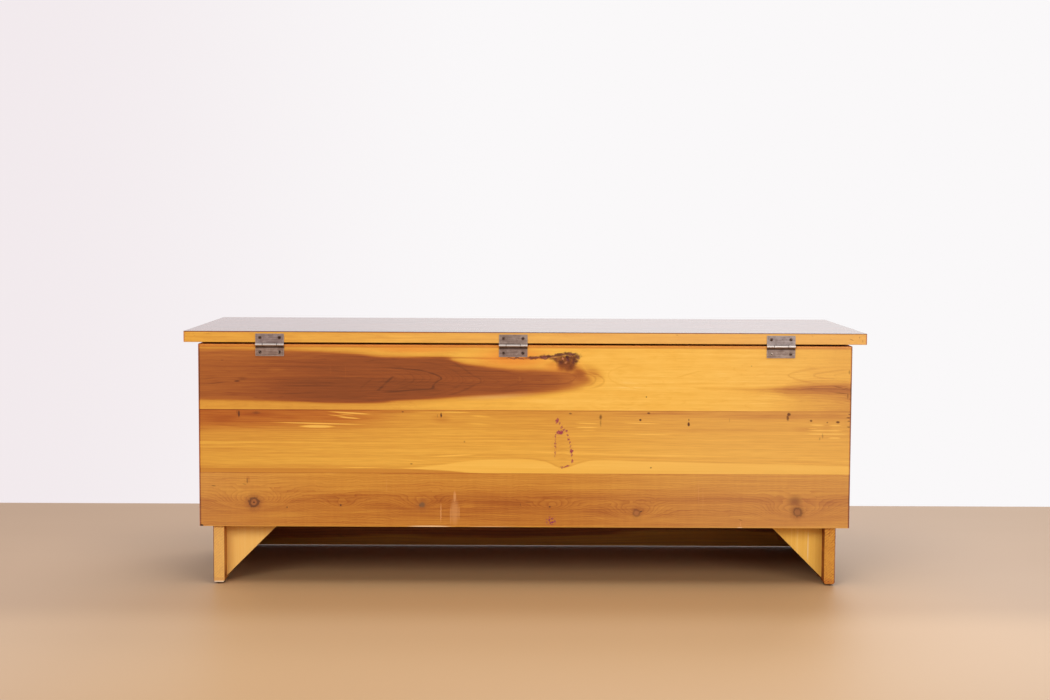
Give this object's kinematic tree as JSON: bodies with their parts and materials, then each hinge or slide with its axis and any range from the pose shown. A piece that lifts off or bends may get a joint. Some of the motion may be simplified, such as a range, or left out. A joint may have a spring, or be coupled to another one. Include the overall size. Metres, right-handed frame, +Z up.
{
  "type": "blanket chest",
  "caption": "Long cedar blanket chest on a low plinth with rear corner gussets, a flat overhanging lid on butt hinges, a slotted lid stay and a hook-bolt lock.",
  "frame": {"origin": "on the floor, under the centre of the bounding box of the shut chest, hinge barrels included", "axes": "+X to the right of someone facing the front, along the chest; +Y from the front to the hinged rear; +Z up"},
  "size_m": [1.219, 0.4381, 0.457],
  "materials": {
    "cedar_back": "satin lacquer over bare cedar",
    "cedar_front": "bare",
    "cedar_ends": "bare",
    "cedar_floor": "bare",
    "cedar_lid": "satin lacquer on the rear edge, bare below",
    "plywood": "bare",
    "walnut_veneer": "gloss lacquer",
    "walnut_strip": "gloss lacquer",
    "plinth_wood": "satin",
    "hinge_steel": "dull, aged plating",
    "hinge_screw_steel": "dull, aged plating",
    "screw_steel": "satin",
    "stay_steel": "satin brass-coloured plating",
    "lock_steel": "satin",
    "lock_brass": "satin",
    "rubber": "matt",
    "glide_steel": "worn"
  },
  "bodies": {
    "case": {"back_board_bottom": "cedar_back", "back_board_middle": "cedar_back", "back_board_top": "cedar_back", "front_board_bottom": "cedar_front", "front_board_middle": "cedar_front", "front_board_top": "cedar_front", "left_board_bottom": "cedar_ends", "left_board_middle": "cedar_ends", "left_board_top": "cedar_ends", "right_board_bottom": "cedar_ends", "right_board_middle": "cedar_ends", "right_board_top": "cedar_ends", "floor_board_1": "cedar_floor", "floor_board_2": "cedar_floor", "floor_board_3": "cedar_floor", "floor_board_4": "cedar_floor", "corner_splines": "plywood", "front_veneer": "walnut_veneer", "left_veneer": "walnut_veneer", "right_veneer": "walnut_veneer", "base_front_veneer": "walnut_veneer", "base_end_veneers": "walnut_veneer", "base_left_board": "plinth_wood", "base_right_board": "plinth_wood", "base_front_board": "plinth_wood", "gusset_left": "plinth_wood", "gusset_right": "plinth_wood", "base_glue_blocks": "plinth_wood", "hinge_left_case_leaf": "hinge_steel", "hinge_middle_case_leaf": "hinge_steel", "hinge_right_case_leaf": "hinge_steel", "hinge_pins": "hinge_steel", "hinge_screws_case": "hinge_screw_steel", "small_screws_case": "screw_steel", "nail_glides": "glide_steel", "stay_wall_stud": "stay_steel", "lock_case": "lock_steel", "lock_barrel": "lock_brass"},
    "lid": {"lid_board_front": "cedar_lid", "lid_board_front_middle": "cedar_lid", "lid_board_rear_middle": "cedar_lid", "lid_board_rear": "cedar_lid", "lid_top_veneer": "walnut_veneer", "lid_front_edging": "walnut_strip", "lid_end_edgings": "walnut_strip", "lid_battens": "cedar_lid", "batten_screws": "screw_steel", "lid_bumpers": "rubber", "hinge_left_lid_leaf": "hinge_steel", "hinge_middle_lid_leaf": "hinge_steel", "hinge_right_lid_leaf": "hinge_steel", "hinge_screws_lid": "hinge_screw_steel", "stay_lid_bracket": "stay_steel", "stay_rivet": "stay_steel", "lock_strike": "lock_steel", "small_screws_lid": "screw_steel"},
    "stay": {"stay_arm": "stay_steel"},
    "lock_cylinder": {"lock_plug": "lock_brass"},
    "bolt": {"lock_bolt": "lock_steel"}
  },
  "joints": [
    {"name": "lid_hinge", "type": "hinge", "parent": "case", "child": "lid", "pos_m": [0, 0.21615, 0.4328], "axis": [-1, 0, 0], "range_deg": [0, 95]},
    {"name": "stay_pivot", "type": "hinge", "parent": "lid", "child": "stay", "pos_m": [0.5604, 0.07637, 0.425], "axis": [-1, 0, 0], "range_deg": [-48, 0]},
    {"name": "lock_turn", "type": "hinge", "parent": "case", "child": "lock_cylinder", "pos_m": [0, -0.19405, 0.412], "axis": [0, 1, 0], "range_deg": [0, 90]},
    {"name": "bolt_slide", "type": "slide", "parent": "case", "child": "bolt", "axis": [1, 0, 0], "range_m": [0, 0.0085]}
  ],
  "couplings": [
    {"joint": "stay_pivot", "follows": "lid_hinge", "ratio": -0.5},
    {"joint": "bolt_slide", "follows": "lock_turn", "m_per_rad": 0.0054019}
  ]
}
